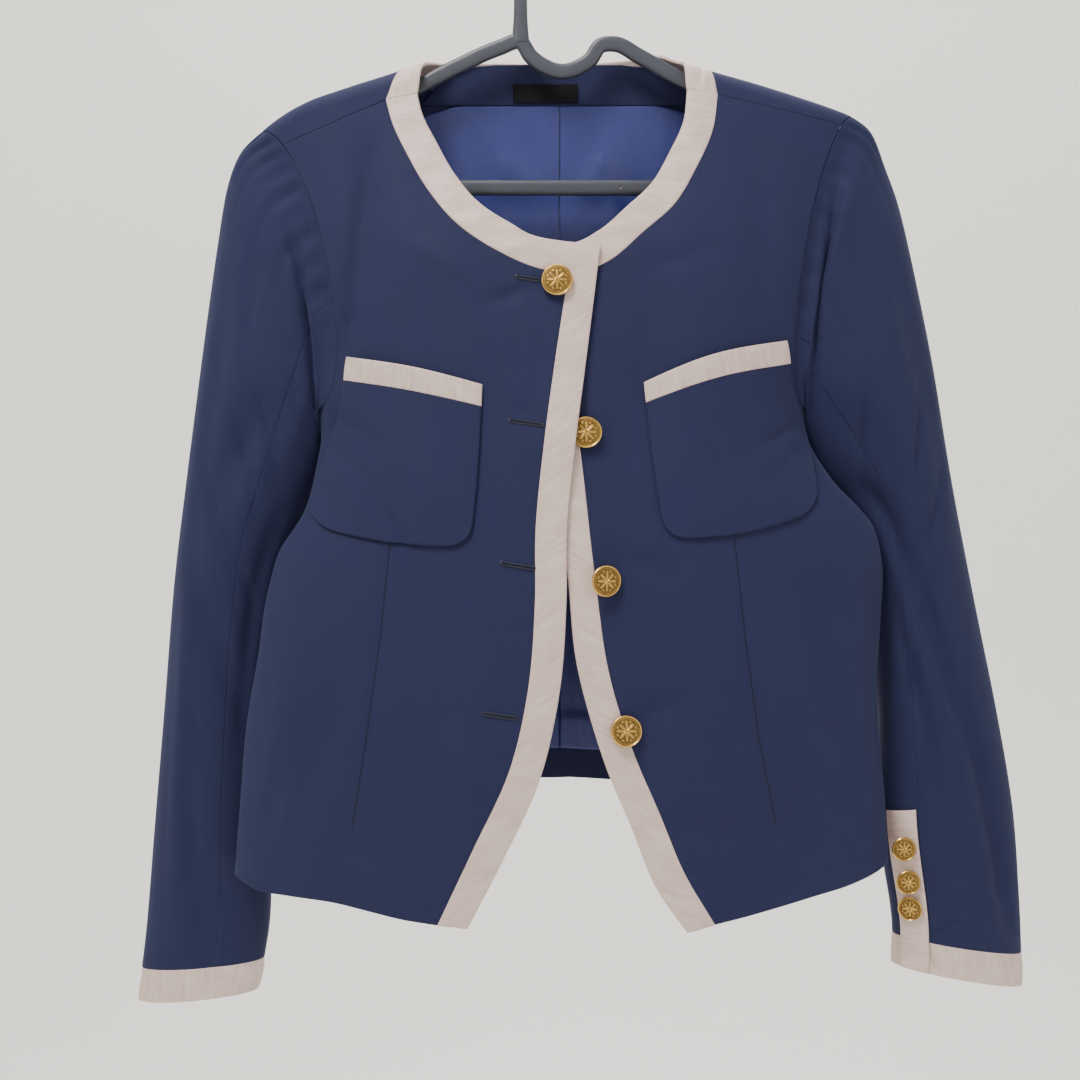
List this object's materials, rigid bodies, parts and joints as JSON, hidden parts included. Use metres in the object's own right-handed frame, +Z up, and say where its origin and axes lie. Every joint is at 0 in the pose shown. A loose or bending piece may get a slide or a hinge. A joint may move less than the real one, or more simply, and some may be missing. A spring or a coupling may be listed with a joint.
{
  "type": "blazer on a clothes hanger",
  "caption": "Short collarless crepe blazer with satin bands, patch pockets and shank buttons, hanging open on a moulded clothes hanger.",
  "frame": {"origin": "seat of the hanger's hook, the inner top of its crown, where it hangs on a rail", "axes": "+Z up, the garment's front faces -Y, and the wearer's left side lies at +X"},
  "size_m": [0.593, 0.1175, 0.7289],
  "materials": {
    "navy_crepe": "matte crepe",
    "pale_satin": "soft satin",
    "blue_lining": "lining twill with a sheen",
    "old_gold": "antique gold plating",
    "black_tape": "woven tape",
    "slate_plastic": "moulded, fine grain"
  },
  "bodies": {
    "root": {"back_hem_facing": "navy_crepe", "back_left": "navy_crepe", "back_lining_left": "blue_lining", "back_lining_right": "blue_lining", "back_neck_band": "pale_satin", "back_neck_facing": "navy_crepe", "back_right": "navy_crepe", "button_cuff_left_1": "old_gold", "button_cuff_left_2": "old_gold", "button_cuff_left_3": "old_gold", "button_cuff_right_1": "old_gold", "button_cuff_right_2": "old_gold", "button_cuff_right_3": "old_gold", "button_front_1": "old_gold", "button_front_2": "old_gold", "button_front_3": "old_gold", "button_front_4": "old_gold", "cuff_band_left": "pale_satin", "cuff_band_right": "pale_satin", "front_band_left": "pale_satin", "front_band_right": "pale_satin", "front_left": "navy_crepe", "front_right": "navy_crepe", "hanger": "slate_plastic", "label_bare": "black_tape", "placket_left": "pale_satin", "placket_right": "pale_satin", "pocket_band_left": "pale_satin", "pocket_band_right": "pale_satin", "pocket_left": "navy_crepe", "pocket_right": "navy_crepe", "sleeve_left_under": "navy_crepe", "sleeve_left_upper": "navy_crepe", "sleeve_right_under": "navy_crepe", "sleeve_right_upper": "navy_crepe"}
  },
  "joints": []
}
